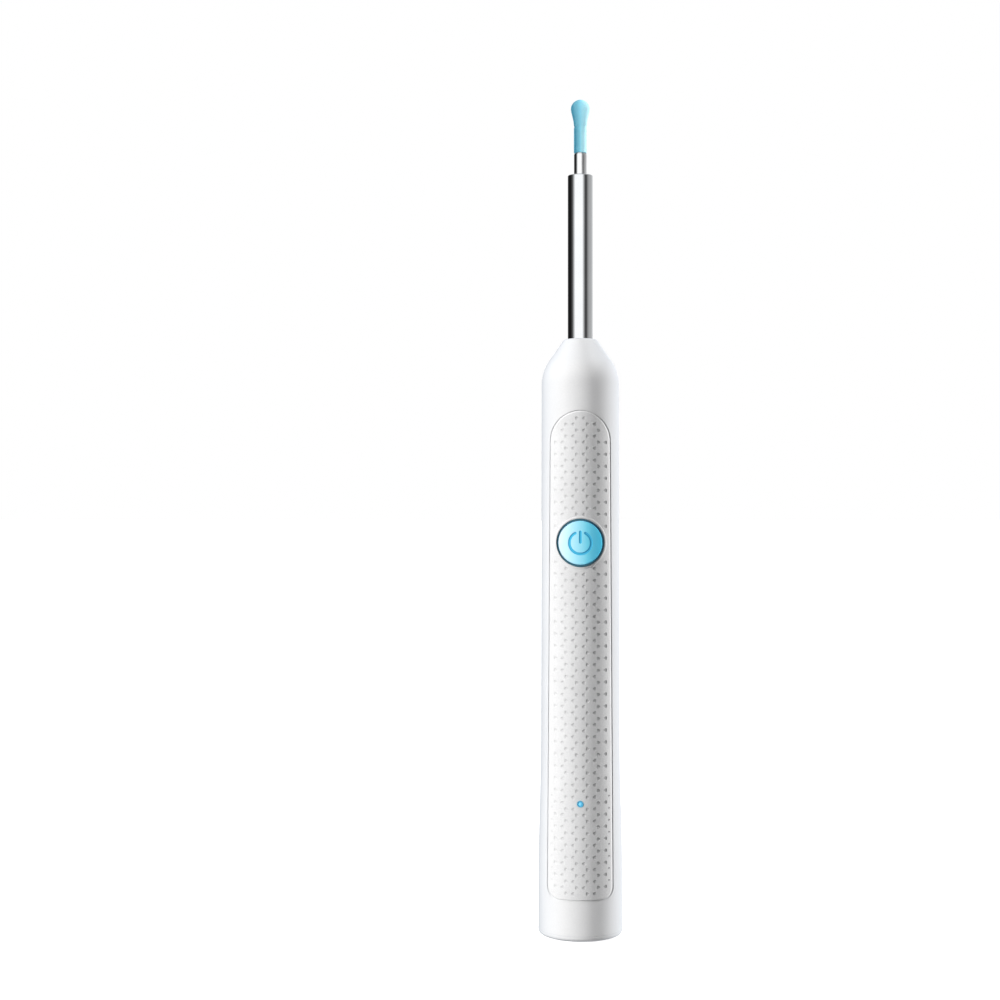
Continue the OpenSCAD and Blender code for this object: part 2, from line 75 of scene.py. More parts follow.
PANEL_LOW, PANEL_HIGH = box_mm("grip_panel")
PANEL_GAP = 0.14                     # between the panel and the edge of its recess
PANEL_Z0 = PANEL_LOW[2] - PANEL_GAP  # lower edge of the recess
PANEL_Z1 = PANEL_HIGH[2] + PANEL_GAP
PANEL_W0 = PANEL_HIGH[0] + PANEL_GAP
PANEL_W1 = 4.98                      # half the recess's width where its arch begins
PANEL_CORNER = 2.0
PANEL_T, RECESS_T = 0.6, 0.7
PANEL_EDGE = 0.24                    # radius of the panel's rounded edge
GROOVE_DEPTH = 0.11                  # how deep the line round the panel is
FLOOR_INSET = PANEL_GAP + 0.05       # the recess's floor begins this far inside its outline
MOUTH = 0.06                         # and the body begins to round over this far outside it
BAND_ENDS = (PANEL_Z0 - 1.4, PANEL_Z1 + 1.4)  # heights between which the body goes round the recess

BUTTON_Z = sum(a[2] for a in box_mm("power_button")) / 2
BEZEL_R = box_mm("button_bezel")[1][0] - 0.05  # as thin as the photograph shows it
BEZEL_IN_R = BEZEL_R - 0.28
BUTTON_R = BEZEL_IN_R - 0.07
BEZEL_PROUD, BUTTON_PROUD = 0.2, 0.25
ICON_R, ICON_W, ICON_GAP, ICON_DEPTH = 1.8, 0.46, radians(27), 0.07
LIGHT_LOW, LIGHT_HIGH = box_mm("light_pipe")
LIGHT_Z = (LIGHT_LOW[2] + LIGHT_HIGH[2]) / 2
LIGHT_R = 0.53
LIGHT_FLANGE_R, LIGHT_FLANGE = 0.95, 0.25  # radius and thickness of the light pipe's flange
LIGHT_REST = RECESS_T + 0.31         # how deep under the body's face the flange rests
WINDOW_R = 4.4                       # the sleeve's hole behind the button

PROBE_LOW, PROBE_HIGH = box_mm("probe_tube")
PROBE_R, PROBE_Z1 = PROBE_HIGH[0], PROBE_HIGH[2]
BARREL_LOW, BARREL_HIGH = box_mm("lens_barrel")
BARREL_R = BARREL_HIGH[0]
SPOON_Z0, SPOON_Z1 = box_mm("ear_spoon")[0][2], box_mm("ear_spoon")[1][2]
SLEEVE_R = BARREL_R + 0.03


# ---------------------------------------------------------------- the body's form
TURNS = np.linspace(-pi, pi, 121)    # round the body, from the back by way of the front


def body_r(z):
    """Radius of the body at height z, up to the shoulder."""
    z = np.asarray(z, float)
    flare = (1 + np.cos(pi * (z - BAND_Z) / (FLARE_Z - BAND_Z))) / 2
    taper = (z - FLARE_Z) / (SHOULDER_Z - FLARE_Z)
    upper = WAIST_R + (SHOULDER_R - WAIST_R) * taper
    r = np.where(z < FLARE_Z, WAIST_R + (BASE_R - WAIST_R) * flare, upper)
    return np.where(z <= BAND_Z, BASE_R, r)


def body_slope(z):
    """Change of the body's radius with height."""
    return (body_r(z + 0.05) - body_r(z - 0.05)) / 0.1


def body_normal(x, z):
    """Outward unit normal of the body's front at planar x and height z."""
    s = np.clip(x / body_r(z), -1, 1)
    n = np.stack([s, -np.sqrt(1 - s * s), -body_slope(z) + 0 * s], -1)
    return n / np.linalg.norm(n, axis=-1, keepdims=True)


def on_body(x, z, depth):
    """Point at planar x and height z on the body's front, sunk by depth towards the axis."""
    r = body_r(z) - depth
    return np.stack([x, -np.sqrt(np.maximum(r * r - x * x, 0)), z], -1)


def on_front(x, z, depth):
    """Place and normal of points on the body's front, as cdt_patch wants them."""
    return on_body(x, z, depth), body_normal(x, z)


def panel_outline(inset):
    """The recess's outline as a loop of [x, z], pulled in by inset, anticlockwise from the lower right."""
    step = 0.3
    centre_x = PANEL_W0 - PANEL_CORNER
    arch_z = PANEL_Z1 - PANEL_W1
    corner, arch = PANEL_CORNER - inset, PANEL_W1 - inset
    right = [(centre_x + corner * cos(a), PANEL_Z0 + PANEL_CORNER + corner * sin(a))
             for a in np.linspace(-pi / 2, 0, 13)]
    low, high = right[-1], (arch, arch_z)
    count = int((arch_z - low[1]) / step)
    right += [(low[0] + (high[0] - low[0]) * k / count, low[1] + (high[1] - low[1]) * k / count)
              for k in range(1, count)]
    right += [(arch * cos(a), arch_z + arch * sin(a)) for a in np.linspace(0, pi / 2, 33)]
    left = [(-x, z) for x, z in right[-2::-1]]
    count = int(2 * centre_x / step)
    bottom = [(-centre_x + 2 * centre_x * k / count, PANEL_Z0 + inset) for k in range(1, count)]
    return np.array(right + left + bottom)


def panel_depth_in(x, z):
    """Distance from a point to the recess's outline, positive inside it."""
    x, z = np.abs(np.asarray(x, float)), np.asarray(z, float)
    arch_z = PANEL_Z1 - PANEL_W1
    centre_x, centre_z = PANEL_W0 - PANEL_CORNER, PANEL_Z0 + PANEL_CORNER
    share = np.clip((z - centre_z) / (arch_z - centre_z), 0, 1)
    side = PANEL_W0 + (PANEL_W1 - PANEL_W0) * share - x
    d = np.minimum(side, z - PANEL_Z0)
    corner = PANEL_CORNER - np.hypot(x - centre_x, z - centre_z)
    d = np.where((x > centre_x) & (z < centre_z), corner, d)
    return np.where(z > arch_z, PANEL_W1 - np.hypot(x, z - arch_z), d)


def circle(z, r, count):
    """Points round a circle whose middle is at height z, as a loop of [x, z], anticlockwise."""
    a = np.linspace(0, 2 * pi, count, endpoint=False)
    return np.stack([r * np.cos(a), z + r * np.sin(a)], -1)


# A patch's triangles are kept or dropped by their middles. The middles of thin ones along an outline or
# beside a round hole lie almost on it, so the limits stand a hair off.
FLAT, CHORD = 0.0008, 0.001


def within(inset, x, z):
    """Whether triangles with these middles are inside the recess's outline, pulled in by inset."""
    return panel_depth_in(x, z) > inset + FLAT


def clear_of(holes, x, z, margin=-CHORD):
    """Whether points are further than margin outside all round holes, given as (height, radius)."""
    clear = True
    for hole_z, r in holes:
        clear = clear & (np.hypot(x, z - hole_z) > r + margin)
    return clear


# ---------------------------------------------------------------- mesh building
class Build:
    """Collects points and faces, with an optional normal and a mark for each point."""

    def __init__(self):
        self.points, self.normals, self.marks, self.faces = [], [], [], []

    def add(self, points, normals=None, mark=0.0):
        start = len(self.points)
        points = np.asarray(points, float).reshape(-1, 3)
        self.points += points.tolist()
        self.normals += (np.zeros_like(points) if normals is None else np.asarray(normals)).tolist()
        self.marks += np.broadcast_to(np.asarray(mark, float), len(points)).tolist()
        return list(range(start, start + len(points)))

    def bridge(self, a, b, flip=False):
        """Quads between two closed rows of the same length."""
        for k, (low, high) in enumerate(zip(a, b)):
            m = (k + 1) % len(a)
            quad = (low, a[m], b[m], high)
            self.faces.append(quad[::-1] if flip else quad)

    def cap(self, row, flip=False):
        self.faces.append(tuple(row[::-1] if flip else row))

    def mesh(self, name, sharp=30):
        """The mesh, with points that lie on each other joined and edges above the sharp angle kept hard."""
        rounded = np.round(self.points, 4) + 0.0
        _, first, same = np.unique(rounded, axis=0, return_index=True, return_inverse=True)
        same = same.ravel()
        faces = []
        for face in self.faces:
            face = [int(same[i]) for i in face]
            face = [i for k, i in enumerate(face) if i != face[k - 1]]
            if len(set(face)) > 2:
                faces.append(face)
        mesh = bpy.data.meshes.new(name)
        mesh.from_pydata((np.array(self.points)[first] * MM).tolist(), [], faces)
        mesh.shade_smooth()
        mark = mesh.attributes.new("mark", "FLOAT", "POINT")
        mark.data.foreach_set("value", np.array(self.marks)[first])
        normals = np.array(self.normals)[first]
        if np.abs(normals).sum() > 0:
            own = np.array([v.normal for v in mesh.vertices])
            given = np.linalg.norm(normals, axis=1) > 0.5
            own[given] = normals[given]
            mesh.normals_split_custom_set_from_vertices(own.tolist())
        else:
            mesh.set_sharp_from_angle(angle=radians(sharp))
        return mesh


def revolve(build, outline, segments=96, closed=False, about="Z", centre=(0, 0, 0)):
    """Turns an outline of [radius, height] about an axis. A radius of 0 at an end closes it there."""
    angles = np.linspace(0, 2 * pi, segments, endpoint=False)
    rows = []
    for r, h in outline:
        across, side, along = r * np.cos(angles), r * np.sin(angles), 0 * angles + h
        points = np.stack((across, side, along) if about == "Z" else (across, along, -side), -1)
        rows.append(build.add(points + np.array(centre)))
    for a, b in zip(rows, rows[1:] + (rows[:1] if closed else [])):
        build.bridge(a, b)
    if not closed:
        build.cap(rows[0], flip=True)
        build.cap(rows[-1])
    return rows


def arc(cr, ch, radius, start, end, count):
    """Points [radius, height] on an arc, angles in degrees from the outward direction."""
    return [(cr + radius * cos(radians(a)), ch + radius * sin(radians(a)))
            for a in np.linspace(start, end, count)]


def cdt_patch(build, lift, loops, loose, keep, flip=False):
    """Triangulates flat loops and loose points. A loop is (points, depth, mark, whether it gets normals),
    and a loose point the same with one point. lift gives the points' places and normals, and keep says
    which triangles stay, by their middles. Returns each loop's point numbers."""
    flat, edges, traits = [], [], []
    for points, *rest in loops:
        start, n = len(flat), len(points)
        flat += [tuple(p) for p in points]
        edges += [(start + k, start + (k + 1) % n) for k in range(n)]
        traits += [rest] * n
    for point, *rest in loose:
        flat.append(tuple(point))
        traits.append(rest)
    out = delaunay_2d_cdt([Vector(p) for p in flat], edges, [], 0, 1e-6, True)
    tris, origin = out[2], out[3]
    first = [old[0] for old in origin]
    xy = np.array([flat[i] for i in first])
    depth, mark, given = np.array([traits[i] for i in first], float).T
    points, normals = lift(xy[:, 0], xy[:, 1], depth)
    normals = np.where(given[:, None] > 0, normals, 0)
    ids = build.add(points, normals, mark)
    tris = np.array(tris)
    kept = keep(*xy[tris].mean(axis=1).T)
    a, b, c = (xy[tris[:, k]] for k in range(3))
    turn = (b[:, 0] - a[:, 0]) * (c[:, 1] - a[:, 1]) - (b[:, 1] - a[:, 1]) * (c[:, 0] - a[:, 0])
    tris = np.where(((turn < 0) != flip)[:, None], tris[:, ::-1], tris)
    build.faces += [tuple(ids[i] for i in t) for t in tris[kept].tolist()]
    place = {}
    for new, old in enumerate(origin):
        for i in old:
            place[i] = ids[new]
    rows, start = [], 0
    for points, *_ in loops:
        rows.append([place[start + k] for k in range(len(points))])
        start += len(points)
    return rows


# ---------------------------------------------------------------- materials
def rgb(r, g, b):
    """Linear colour from display values of 0 to 255."""
    def one(v):
        v /= 255
        return v / 12.92 if v <= 0.04045 else ((v + 0.055) / 1.055) ** 2.4
    return one(r), one(g), one(b), 1.0


class Nodes:
    """Short ways to make and join the nodes of one tree."""

    def __init__(self, tree):
        self.tree = tree

    def node(self, kind, **settings):
        made = self.tree.nodes.new("ShaderNode" + kind)
        for key, value in settings.items():
            setattr(made, key, value)
        return made

    def put(self, value, socket):
        """Joins an output to the socket, or sets the socket to a plain value."""
        if isinstance(value, bpy.types.NodeSocket):
            self.tree.links.new(value, socket)
        else:
            socket.default_value = value

    def spread(self, fac, low, high, start=0.3, end=0.7):
        """Maps start..end of fac to low..high."""
        made = self.node("MapRange")
        for key, value in zip(("From Min", "From Max", "To Min", "To Max"), (start, end, low, high)):
            made.inputs[key].default_value = value
        self.put(fac, made.inputs["Value"])
        return made.outputs["Result"]

    def mix(self, fac, a, b):
        """Colour a at fac 0, colour b at fac 1."""
        made = self.node("Mix", data_type="RGBA")
        for value, socket in ((fac, made.inputs[0]), (a, made.inputs[6]), (b, made.inputs[7])):
            self.put(value, socket)
        return made.outputs[2]

    def math(self, operation, a, b):
        made = self.node("Math", operation=operation)
        self.put(a, made.inputs[0])
        self.put(b, made.inputs[1])
        return made.outputs[0]

    def blend(self, a, b, share):
        """Weighted sum of two values, with the weight share on a."""
        return self.math("ADD", self.math("MULTIPLY", a, share), self.math("MULTIPLY", b, 1 - share))

    def split(self, vector):
        """The x, y and z of a vector."""
        made = self.node("SeparateXYZ")
        self.put(vector, made.inputs[0])
        return tuple(made.outputs)


class Skin(Nodes):
    """The nodes of one material with a Principled shader."""

    def __init__(self, name):
        self.material = bpy.data.materials.new(name)
        self.material.use_nodes = True
        super().__init__(self.material.node_tree)
        self.shader = self.tree.nodes["Principled BSDF"]
        self.coords = self.node("TexCoord").outputs["Object"]

    def noise(self, size_mm, detail=2.0, rough=0.5, stretch=None):
        """Soft noise whose blobs are about size_mm across. stretch is a scale for each axis."""
        coords = self.coords
        if stretch:
            mapping = self.node("Mapping")
            self.put(stretch, mapping.inputs["Scale"])
            self.put(coords, mapping.inputs["Vector"])
            coords = mapping.outputs["Vector"]
        made = self.node("TexNoise")
        for key, value in (("Scale", 1 / (size_mm * MM)), ("Detail", detail), ("Roughness", rough),
                           ("Vector", coords)):
            self.put(value, made.inputs[key])
        return made.outputs["Fac"]

    def mark(self):
        """The mark that Build gave each point."""
        return self.node("Attribute", attribute_name="mark").outputs["Fac"]

    def normal(self):
        """The x, y and z of the surface's normal."""
        return self.split(self.node("NewGeometry").outputs["Normal"])

    def colour(self, out):
        self.put(out, self.shader.inputs["Base Color"])

    def rough(self, out):
        self.put(out, self.shader.inputs["Roughness"])

    def bump(self, height, depth_mm):
        made = self.node("Bump")
        self.put(depth_mm * MM, made.inputs["Distance"])
        self.put(height, made.inputs["Height"])
        self.put(made.outputs["Normal"], self.shader.inputs["Normal"])

    def set(self, **values):
        """Sets the shader's own sockets and returns the finished material."""
        for key, value in values.items():
            self.put(value, self.shader.inputs[key.replace("_", " ")])
        return self.material


def shade(colour, k):
    """The colour, k times as bright."""
    return tuple(min(1.0, c * k) for c in colour[:3]) + (1.0,)


def plastic(name, colour, rough, grain_mm=0.25, grain=0.004, tint=0.03, rough_by=0.04, **sockets):
    """Moulded plastic: fine grain, slight blotches of tint and of gloss."""
    m = Skin(name)
    blotch = m.noise(6.0, 3.0)
    fine = m.noise(grain_mm, 2.0)
    both = m.blend(blotch, fine, 0.5)
    m.colour(m.mix(m.spread(both, 0, 1, 0.35, 0.65), shade(colour, 1 - tint), shade(colour, 1 + tint)))
    m.rough(m.spread(both, rough - rough_by, rough + rough_by, 0.35, 0.65))
    m.bump(fine, grain)
    return m.set(**sockets)


def metal(name, colour, rough, line_mm=0.05, along=(1, 1, 0.02), depth=0.0006, tint=0.05, **sockets):
    """Drawn or polished metal with faint lines along it and a few cloudy patches."""
    m = Skin(name)
    lines = m.noise(line_mm, 2.0, stretch=along)
    cloud = m.noise(3.0, 3.0)
    m.colour(m.mix(m.spread(cloud, 0, 1), shade(colour, 1 - tint), shade(colour, 1 + tint)))
    both = m.blend(lines, cloud, 0.6)
    m.rough(m.spread(both, rough * 0.75, rough * 1.3))
    m.bump(lines, depth)
    return m.set(Metallic=1.0, **sockets)


def board_material(name, colour):
    """Solder mask over copper tracks that come and go in patches."""
    m = Skin(name)
    brick = m.node("TexBrick", offset=0.5, squash=1.0)
    for key, value in (("Scale", 900), ("Mortar Size", 0.012), ("Color1", (0, 0, 0, 1)),
                       ("Color2", (0.1, 0.1, 0.1, 1)), ("Mortar", (1, 1, 1, 1))):
        m.put(value, brick.inputs[key])
    turned = m.node("Mapping")
    m.put((pi / 2, 0, 0), turned.inputs["Rotation"])
    m.put(m.coords, turned.inputs["Vector"])
    m.put(turned.outputs["Vector"], brick.inputs["Vector"])
    patch = m.spread(m.noise(1.6, 1.0), 0, 1, 0.48, 0.52)
    track = m.math("MULTIPLY", brick.outputs["Color"], patch)
    m.colour(m.mix(track, colour, shade(colour, 2.0)))
    m.rough(m.spread(m.noise(0.4), 0.3, 0.45))
    m.bump(track, 0.02)
    return m.set(Coat_Weight=0.3, Coat_Roughness=0.2)


def body_material():
    """Satin white shell. Painted shade: edges that turn away from the view are a touch darker and cooler."""
    m = Skin("body_shell")
    blotch, fine = m.noise(7.0, 3.0), m.noise(0.22, 2.0)
    both = m.blend(blotch, fine, 0.5)
    base = m.mix(m.spread(both, 0, 1, 0.35, 0.65), rgb(239, 239, 239), rgb(245, 245, 245))
    facing = m.node("LayerWeight").outputs["Facing"]
    # Painted shade: the colour goes darker and cooler where the surface turns away from the view.
    m.colour(m.mix(m.spread(facing, 0, 1, 0.1, 0.85), base, rgb(210, 214, 219)))
    m.rough(m.spread(both, 0.44, 0.54, 0.35, 0.65))
    m.bump(fine, 0.002)
    return m.set(Specular_IOR_Level=0.2)


def panel_material():
    """Finely grained soft-touch white with painted shade: darker down in the dimples, and more so towards
    the right.
    """
    m = Skin("grip_panel")
    grain = m.noise(0.16, 3.0, 0.65)
    blotch = m.noise(5.0, 3.0)
    both = m.blend(grain, blotch, 0.75)
    base = m.mix(m.spread(both, 0, 1, 0.3, 0.7), rgb(226, 226, 226), rgb(246, 246, 246))
    # Painted shade in the dimples, weak on the left and strong on the right, where the light falls away.
    shadow = m.spread(m.split(m.coords)[0], 0.1, 0.56, -4 * MM, 4.6 * MM)
    m.colour(m.mix(m.math("MULTIPLY", m.mark(), shadow), base, rgb(120, 120, 122)))
    m.rough(m.spread(both, 0.5, 0.68))
    m.bump(grain, 0.022)
    return m.set(Specular_IOR_Level=0.3)


def button_material():
    """Cyan lacquer with painted light: pale on the left as a painted sheen, deep cyan on the right as
    painted shade, and a faint painted glow. The power symbol is a deeper blue.
    """
    m = Skin("button_blue")
    fine = m.noise(0.12, 2.0)
    cloud = m.noise(2.2, 2.0)
    x = m.split(m.coords)[0]
    # Painted sheen on the left and painted shade on the right, along the button's x.
    pale = m.mix(m.spread(cloud, 0, 1), rgb(222, 246, 250), rgb(230, 248, 253))
    base = m.mix(m.spread(x, 0, 1, -3.3 * MM, 1.2 * MM), pale, rgb(134, 240, 255))
    base = m.mix(m.spread(x, 0, 1, 0.6 * MM, 3.3 * MM), base, rgb(94, 228, 255))
    m.colour(m.mix(m.mark(), base, rgb(50, 178, 212)))
    m.rough(m.spread(fine, 0.36, 0.46))
    m.bump(fine, 0.003)
    # The emission is a painted glow.
    return m.set(Specular_IOR_Level=0.6, Coat_Weight=0.6, Coat_Roughness=0.4,
                 Emission_Color=rgb(0, 170, 255), Emission_Strength=0.14)


def silicone_material():
    """Pale blue silicone with a soft matt skin, with painted light: painted shade makes it deeper blue to
    its left, and a paler painted tone and a painted glow stand for light coming through to its right.
    """
    m = Skin("spoon_silicone")
    fine = m.noise(0.09, 2.0)
    cloud = m.noise(1.4, 2.0)
    x, y, _ = m.normal()
    front = m.spread(y, 1, 0, -0.6, 0.0)
    deep = m.mix(m.spread(cloud, 0, 1), rgb(100, 178, 202), rgb(110, 186, 210))
    # Painted shade: normals that face left are painted deeper blue, most of all on the front.
    deep = m.mix(front, deep, rgb(64, 130, 154))
    base = m.mix(m.spread(x, 0, 1, -0.75, 0.0), deep, rgb(134, 208, 229))
    # Painted light: normals that face right are painted paler.
    m.colour(m.mix(m.spread(x, 0, 1, 0.0, 0.5), base, rgb(196, 234, 242)))
    # Painted glow on the front's right side, through the emission.
    lit = m.math("MULTIPLY", m.spread(x, 0, 1, -0.25, 0.25), front)
    m.put(m.mix(lit, (0, 0, 0, 1), rgb(150, 218, 236)), m.shader.inputs["Emission Color"])
    m.rough(m.spread(fine, 0.3, 0.42))
    m.bump(fine, 0.003)
    return m.set(IOR=1.41, Emission_Strength=0.42, Subsurface_Weight=0.25,
                 Subsurface_Radius=(0.5, 0.9, 1.0), Subsurface_Scale=0.0004)


def barrel_material():
    """Steel that is polished on the left and brushed duller round to the right."""
    m = Skin("barrel_steel")
    lines, cloud = m.noise(0.03, 2.0, stretch=(1, 1, 0.02)), m.noise(3.0, 3.0)
    m.colour(m.mix(m.spread(cloud, 0, 1), rgb(228, 229, 230), rgb(238, 239, 240)))
    dull = m.spread(m.normal()[0], 0.1, 0.34, -0.5, 0.5)
    m.rough(m.math("MULTIPLY", dull, m.spread(lines, 0.85, 1.15)))
    m.bump(lines, 0.0002)
    return m.set(Metallic=1.0)


def light_material():
    """Blue light pipe: mark is 1 at the bright centre and 0 on the darker ring."""
    m = Skin("light_pipe")
    fine = m.noise(0.08, 2.0)
    base = m.mix(m.spread(fine, 0, 1), rgb(96, 176, 204), rgb(108, 186, 212))
    m.colour(m.mix(m.mark(), base, rgb(120, 212, 250)))
    m.rough(m.spread(fine, 0.16, 0.26))
    glow = m.mix(m.mark(), rgb(30, 110, 140), rgb(90, 190, 232))
    m.put(glow, m.shader.inputs["Emission Color"])
    return m.set(Emission_Strength=0.4, Coat_Weight=0.4, Coat_Roughness=0.1)


# By slot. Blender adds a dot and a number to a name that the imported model's plain materials already hold.
MATERIALS = {made.name.split(".")[0]: made for made in (
    body_material(),
    panel_material(),
    plastic("adhesive_film", rgb(205, 204, 196), 0.5, 0.4, 0.004, 0.05),
    button_material(),
    metal("bezel_metal", rgb(66, 108, 124), 0.42, 0.03, (1, 1, 1), 0.0005),
    light_material(),
    metal("probe_steel", rgb(226, 228, 230), 0.09, 0.04, (1, 1, 0.01), 0.00025, 0.02),
    barrel_material(),
    metal("collar_brass", rgb(206, 170, 96), 0.25, 0.05, (0.1, 0.1, 1), 0.001),
    metal("screw_steel", rgb(168, 170, 174), 0.3, 0.04, (1, 1, 1), 0.001),
    plastic("seal_rubber", rgb(36, 36, 38), 0.6, 0.1, 0.006, 0.15),
    silicone_material(),
    plastic("lens_glass", rgb(70, 92, 120), 0.05, 0.3, 0.0003, 0.1, 0.02,
            Coat_Weight=1.0, Coat_Roughness=0.03, Transmission_Weight=0.4),
    plastic("black_resin", rgb(42, 42, 44), 0.5, 0.12, 0.006, 0.15, 0.08),
    plastic("clear_resin", rgb(226, 236, 240), 0.12, 0.2, 0.0008, 0.03, 0.04,
            Transmission_Weight=0.6, Coat_Weight=0.5, Coat_Roughness=0.08),
    board_material("white_board", rgb(214, 214, 208)),
    plastic("led_white", rgb(238, 230, 170), 0.3, 0.15, 0.002, 0.05,
            Emission_Color=(1.0, 0.9, 0.7, 1.0), Emission_Strength=0.2),
    plastic("cable_film", rgb(196, 122, 46), 0.28, 0.2, 0.002, 0.08, 0.06),
    plastic("ivory_nylon", rgb(226, 220, 200), 0.5, 0.15, 0.004, 0.04),
    plastic("chassis_grey", rgb(120, 122, 126), 0.55, 0.2, 0.008, 0.05),
    board_material("board_green", rgb(20, 84, 52)),
    metal("usb_steel", rgb(196, 198, 200), 0.25, 0.05, (1, 1, 0.05), 0.0008),
    metal("contact_gold", rgb(232, 196, 110), 0.2, 0.04, (1, 1, 0.1), 0.0005),
    metal("can_tin", rgb(188, 190, 192), 0.32, 0.06, (1, 1, 0.1), 0.001),
    plastic("antenna_ceramic", rgb(120, 156, 190), 0.3, 0.1, 0.002, 0.06),
    plastic("ferrite_grey", rgb(72, 72, 76), 0.65, 0.12, 0.012, 0.12),
    plastic("capacitor_tan", rgb(170, 136, 96), 0.45, 0.12, 0.004, 0.08),
    metal("cell_foil", rgb(198, 200, 204), 0.38, 0.5, (1, 1, 1), 0.01, 0.04),
    plastic("foam_black", rgb(44, 44, 46), 0.9, 0.14, 0.05, 0.3),
    plastic("wire_red", rgb(190, 34, 30), 0.4, 0.12, 0.003, 0.08),
    plastic("wire_black", rgb(34, 34, 36), 0.4, 0.12, 0.003, 0.12),
)}


def piece(name, mesh, slot, nodes, body="handle"):
    """Shows a mesh in place of CAD nodes, riding on their body."""
    made = bpy.data.objects.new(name, mesh)
    bpy.context.collection.objects.link(made)
    mesh.materials.append(MATERIALS[slot])
    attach(made, body)
    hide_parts(*nodes)
    return made


# ---------------------------------------------------------------- the white sleeve
def ring(build, r, z, out=None, up=0.0):
    """A level ring round the axis. out and up are its normals' parts, which are left open without them."""
    x, y = np.sin(TURNS[:-1]), -np.cos(TURNS[:-1])
    normals = None if out is None else np.stack([out * x, out * y, 0 * x + up], -1)
    return build.add(np.stack([r * x, r * y, 0 * x + z], -1), normals)


def unrolled_tube(heights, radius):
    """The border of a tube's wall, cut open along the back and laid flat as arc length against height."""
    wide = radius * TURNS
    border = [(u, heights[0]) for u in wide] + [(wide[-1], z) for z in heights[1:-1]]
    border += [(u, heights[-1]) for u in wide[::-1]] + [(wide[0], z) for z in heights[-2:0:-1]]
    return np.array(border)


def unrolled(loop, flat_r, r):
    """A loop on the front of a tube of radius r, as arc length at radius flat_r against height."""
    return np.stack([flat_r * np.arcsin(loop[:, 0] / r), loop[:, 1]], -1)


def plain(loop, depth=0.0):
    """A loop for cdt_patch without normals of its own."""
    return loop, depth, 0.0, False


def plain_face(build, inset, depth, holes, rims, room, hole_room, flip=False):
    """A face without normals of its own, at a depth under the body's front. It fills the recess's outline
    round the holes, whose loops are rims. Its loose points keep room to the outline and to the holes."""
    loops = [plain(loop, depth) for loop in (panel_outline(inset), *rims)]
    loose = [((x, z), depth, 0.0, False) for z in np.arange(PANEL_Z0 + 0.7, PANEL_Z1, 1.0)
             for x in np.arange(-5.0, 5.1, 0.5)
             if panel_depth_in(x, z) > inset + room and clear_of(holes, x, z, hole_room)]
    return cdt_patch(build, on_front, loops, loose,
                     lambda x, z: within(inset, x, z) & clear_of(holes, x, z), flip)


def outer_band(build):
    """The body's face round the recess. Returns the points where the recess begins."""
    def lift(u, z, depth):
        turn, r = u / BASE_R, body_r(z) - depth
        n = np.stack([np.sin(turn), -np.cos(turn), -body_slope(z)], -1)
        return (np.stack([r * np.sin(turn), -r * np.cos(turn), z], -1),
                n / np.linalg.norm(n, axis=-1, keepdims=True))

    def inside(u, z, margin):
        turn = u / BASE_R
        return (np.abs(turn) < pi / 2) & (panel_depth_in(body_r(z) * np.sin(turn), z) > margin)

    outline = panel_outline(-MOUTH)
    rim = unrolled(outline, BASE_R, body_r(outline[:, 1]))
    heights = np.linspace(*BAND_ENDS, 121)
    loops = [(unrolled_tube(heights, BASE_R), 0.0, 0.0, True), (rim, 0.0, 0.0, True)]
    loose = [((u, z), 0.0, 0.0, True) for z in heights[1:-1] for u in BASE_R * TURNS[1:-1]
             if not inside(u, z, -MOUTH - 0.2)]
    return cdt_patch(build, lift, loops, loose, lambda u, z: ~inside(u, z, -MOUTH * 0.97))[1]


def recess_wall(build, edge):
    """A rounded edge, the groove's wall, the ledge under the panel's rim and the wall to the floor."""
    steps = ((-0.03, 0.008), (-0.01, 0.025), (0.0, 0.06), (0.0, GROOVE_DEPTH), (FLOOR_INSET, GROOVE_DEPTH),
             (FLOOR_INSET, RECESS_T))
    for inset, depth in steps:
        x, z = panel_outline(inset).T
        row = build.add(on_body(x, z, depth), body_normal(x, z) if depth < RECESS_T / 2 else None)
        build.bridge(edge, row)
        edge = row


def recess_floor(build):
    """The recess's floor, with the button's window and the light's stepped hole through to the bore."""
    def in_bore(u, z, depth):
        turn = u / BORE_R1
        place = np.stack([BORE_R1 * np.sin(turn), -BORE_R1 * np.cos(turn), z], -1)
        return place, 0 * place

    window, counts = (BUTTON_Z, WINDOW_R), (96, 48)
    upper = (window, (LIGHT_Z, LIGHT_FLANGE_R + 0.05))
    lower = (window, (LIGHT_Z, 0.5))
    rims, feet = ([circle(z, r, n) for (z, r), n in zip(holes, counts)] for holes in (upper, lower))

    floor = plain_face(build, FLOOR_INSET, RECESS_T, upper, rims, 0.2, 0.2)

    heights = np.linspace(BORE_Z0, BORE_Z1, 60)
    loose = [((u, z), 0.0, 0.0, False) for z in heights[1:-1] for u in BORE_R1 * TURNS[1:-1]
             if cos(u / BORE_R1) < 0 or clear_of(lower, BORE_R1 * sin(u / BORE_R1), z, 0.25)]
    loops = [unrolled_tube(heights, BORE_R1)] + [unrolled(foot, BORE_R1, BORE_R1) for foot in feet]

    def keep(u, z):
        return (np.cos(u / BORE_R1) < 0) | clear_of(lower, BORE_R1 * np.sin(u / BORE_R1), z)

    bore = cdt_patch(build, in_bore, [plain(loop) for loop in loops], loose, keep, flip=True)

    build.bridge(floor[1], bore[1])
    step_y = -(float(body_r(LIGHT_Z)) - LIGHT_REST) + SLACK
    steps = [build.add(np.column_stack([loop[:, 0], np.full(len(loop), step_y), loop[:, 1]]))
             for loop in (rims[1], feet[1])]
    for a, b in zip((floor[2], *steps), (*steps, bore[2])):
        build.bridge(a, b)


